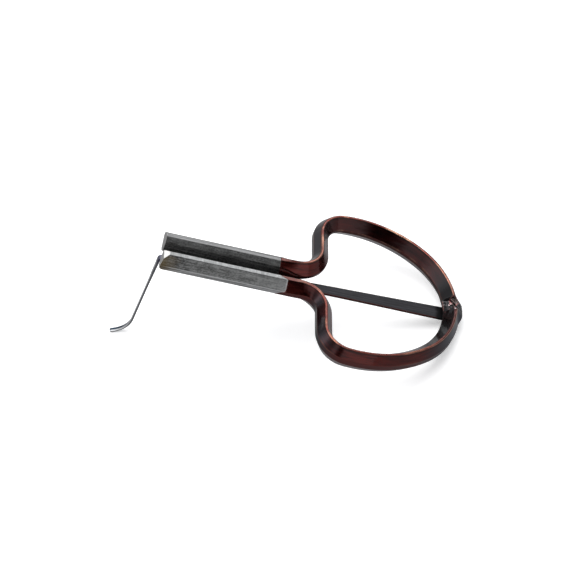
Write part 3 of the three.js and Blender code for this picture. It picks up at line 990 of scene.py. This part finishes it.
def floor_material():
    """A pale sheet. It throws less light back up at the harp than it shows to the camera."""
    m = Shader("floor", on_harp=False)
    seen = m.node("ShaderNodeLightPath").outputs["Is Camera Ray"]
    m.set(Base_Color=m.mix(seen, FLOOR_LIT, FLOOR_SEEN), Roughness=0.7)
    m.set(Emission_Color=grey(1.0), Emission_Strength=m.times(seen, FLOOR_GLOW))
    return m.material


# ---- the pieces ---------------------------------------------------------------------------------------


def make_bow():
    bow = bow_mesh()
    cut_notch(bow)
    bar = bar_coordinates(points_of(bow), bow_line)
    ridges, corners = edge_wear(bar)
    attribute(bow, "bar", "FLOAT_VECTOR", bar)
    attribute(bow, "ridge", "FLOAT", ridges)
    attribute(bow, "corner", "FLOAT", corners)
    attribute(bow, "cut_marks_light", "FLOAT", cut_marks_and_light(bar))
    laid(bow, lacquer())
    bow.data.shade_smooth()
    weighted_normals(bow)
    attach(bow, "harp_frame")
    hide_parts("bow")


def finish_arm(arm, side, material, node):
    x, y, z = points_of(arm).T
    attribute(arm, "bar", "FLOAT_VECTOR", np.c_[x, side * y - ARM_OFFSET, z])
    laid(arm, material)
    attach(arm, "harp_frame")
    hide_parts(node)


def make_reed():
    """The root and the tongue in one strip, which bends from the hinge to its shoulder."""
    stations = reed_stations()
    reed = strip_mesh("reed_visual", stations, [station[0] for station in stations])
    laid(reed, spring_steel())
    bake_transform(reed)
    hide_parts("reed_root", "tongue")


def make_trigger():
    stations, length = trigger_stations()
    trigger = strip_mesh("trigger_visual", stations, np.linspace(0, length, len(stations)))
    laid(trigger, blued_steel())
    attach(trigger, "reed")
    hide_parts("trigger")


make_bow()
left_arm = arm_mesh("left_arm_visual", 1, 0.0, LEFT_BARE, [], LEFT_BORDER)
right_arm = arm_mesh("right_arm_visual", -1, RIGHT_TIP_X, RIGHT_BARE, TIP_PLANES, RIGHT_BORDER)
finish_arm(left_arm, 1, ground_steel("ground_steel", False), "left_arm")
finish_arm(right_arm, -1, ground_steel("ground_steel_stained", True), "right_arm")
make_reed()
make_trigger()

# ---- floor, light and camera --------------------------------------------------------------------------

FLOOR_HALF, FLOOR_BELOW = 3.0, 0.0001  # metres
DOME_COLOUR, DOME = (0.97, 0.98, 1.0), 0.58

# Round patches of the dome, as azimuth (0 is -Y and 90 is +X), elevation, inner and outer radius, all in
# degrees, and the gain inside: two bright panels, three dark patches by the camera and a dim one beside them.
PATCHES = [
    (-82, 42, 10, 27, 1.25 / DOME),
    (-151, 42, 8, 20, 2.6),
    (-14, 28, 5, 15, 0.04),
    (5, 30, 6, 16, 0.04),
    (26, 34, 6, 15, 0.04),
    (-58, 29, 6, 20, 0.4),
]

# The camera stands at the photograph's angle. These are in the flat frame, in degrees and millimetres.
VIEW_AZIMUTH = 18.5303  # the way it looks, from +Y towards +X
VIEW_DOWN = 45.7705  # and down
VIEW_ROLL = 25.5865
VIEW_DISTANCE = 553.22  # how far ahead the harp's middle is
VIEW_WIDTH = 174.545  # the picture's width there
VIEW_MIDDLE = Vector((45, 0, 0))  # the harp's middle
VIEW_RIGHT, VIEW_UP = 5.8529, 1.9991  # how far right and up of the picture's centre it is seen


def floor():
    low = cad_box[0].z - FLOOR_BELOW
    mesh = bpy.data.meshes.new("floor")
    signs = ((-1, -1), (1, -1), (1, 1), (-1, 1))
    mesh.from_pydata([(FLOOR_HALF * x, FLOOR_HALF * y, low) for x, y in signs], [], [(0, 1, 2, 3)])
    mesh.materials.append(floor_material())
    linked("floor", mesh)


def world():
    """A soft studio dome, with the patches that show in the lacquer and the steel."""
    made = bpy.data.worlds.new("studio")
    bpy.context.scene.world = made
    made.use_nodes = True
    nodes = Nodes(made.node_tree)
    where = nodes.node("ShaderNodeTexCoord").outputs["Generated"]
    level = DOME
    for azimuth, elevation, inner, outer, gain in PATCHES:
        a, e = math.radians(azimuth), math.radians(elevation)
        towards = nodes.node("ShaderNodeVectorMath", operation="DOT_PRODUCT")
        nodes.link(where, towards.inputs[0])
        nodes.link((math.sin(a) * math.cos(e), -math.cos(a) * math.cos(e), math.sin(e)), towards.inputs[1])
        rim, core = math.cos(math.radians(outer)), math.cos(math.radians(inner))
        eased = dict(interpolation_type="SMOOTHSTEP")
        level = nodes.times(level, nodes.range(towards.outputs["Value"], rim, core, 1.0, gain, **eased))
    background = made.node_tree.nodes["Background"]
    nodes.link(DOME_COLOUR, background.inputs["Color"])
    nodes.link(level, background.inputs["Strength"])


def area_light(name, place, size, power):
    """A square light that points at the origin."""
    data = bpy.data.lights.new(name, "AREA")
    data.shape, data.size, data.energy = "SQUARE", size, power
    made = linked(name, data)
    made.location = place
    made.rotation_mode = "QUATERNION"
    made.rotation_quaternion = (-Vector(place)).to_track_quat("-Z", "Y")


def camera():
    a, e, roll = math.radians(VIEW_AZIMUTH), math.radians(VIEW_DOWN), math.radians(VIEW_ROLL)
    ahead = Vector((math.sin(a) * math.cos(e), math.cos(a) * math.cos(e), -math.sin(e)))
    level = Vector((math.cos(a), -math.sin(a), 0))
    right = math.cos(roll) * level + math.sin(roll) * level.cross(ahead)
    up = right.cross(ahead)
    place = VIEW_MIDDLE - right * VIEW_RIGHT - up * VIEW_UP - ahead * VIEW_DISTANCE
    data = bpy.data.cameras.new("camera")
    data.sensor_width = 36.0
    data.lens = data.sensor_width * VIEW_DISTANCE / VIEW_WIDTH
    data.clip_start, data.clip_end = 0.01, 20.0
    made = linked("camera", data)
    turn = Matrix.Rotation(TILT, 3, "Y") @ Matrix((right, up, -ahead)).transposed()
    made.matrix_world = Matrix.Translation(TO_ROW @ place) @ turn.to_4x4()
    bpy.context.scene.camera = made


floor()
world()
area_light("overhead", (-0.1, 0.15, 1.1), 1.0, 9.0)
area_light("across", (0.5, 0.72, 0.65), 0.2, 0.25)
camera()
bpy.context.scene.view_settings.view_transform = "Standard"
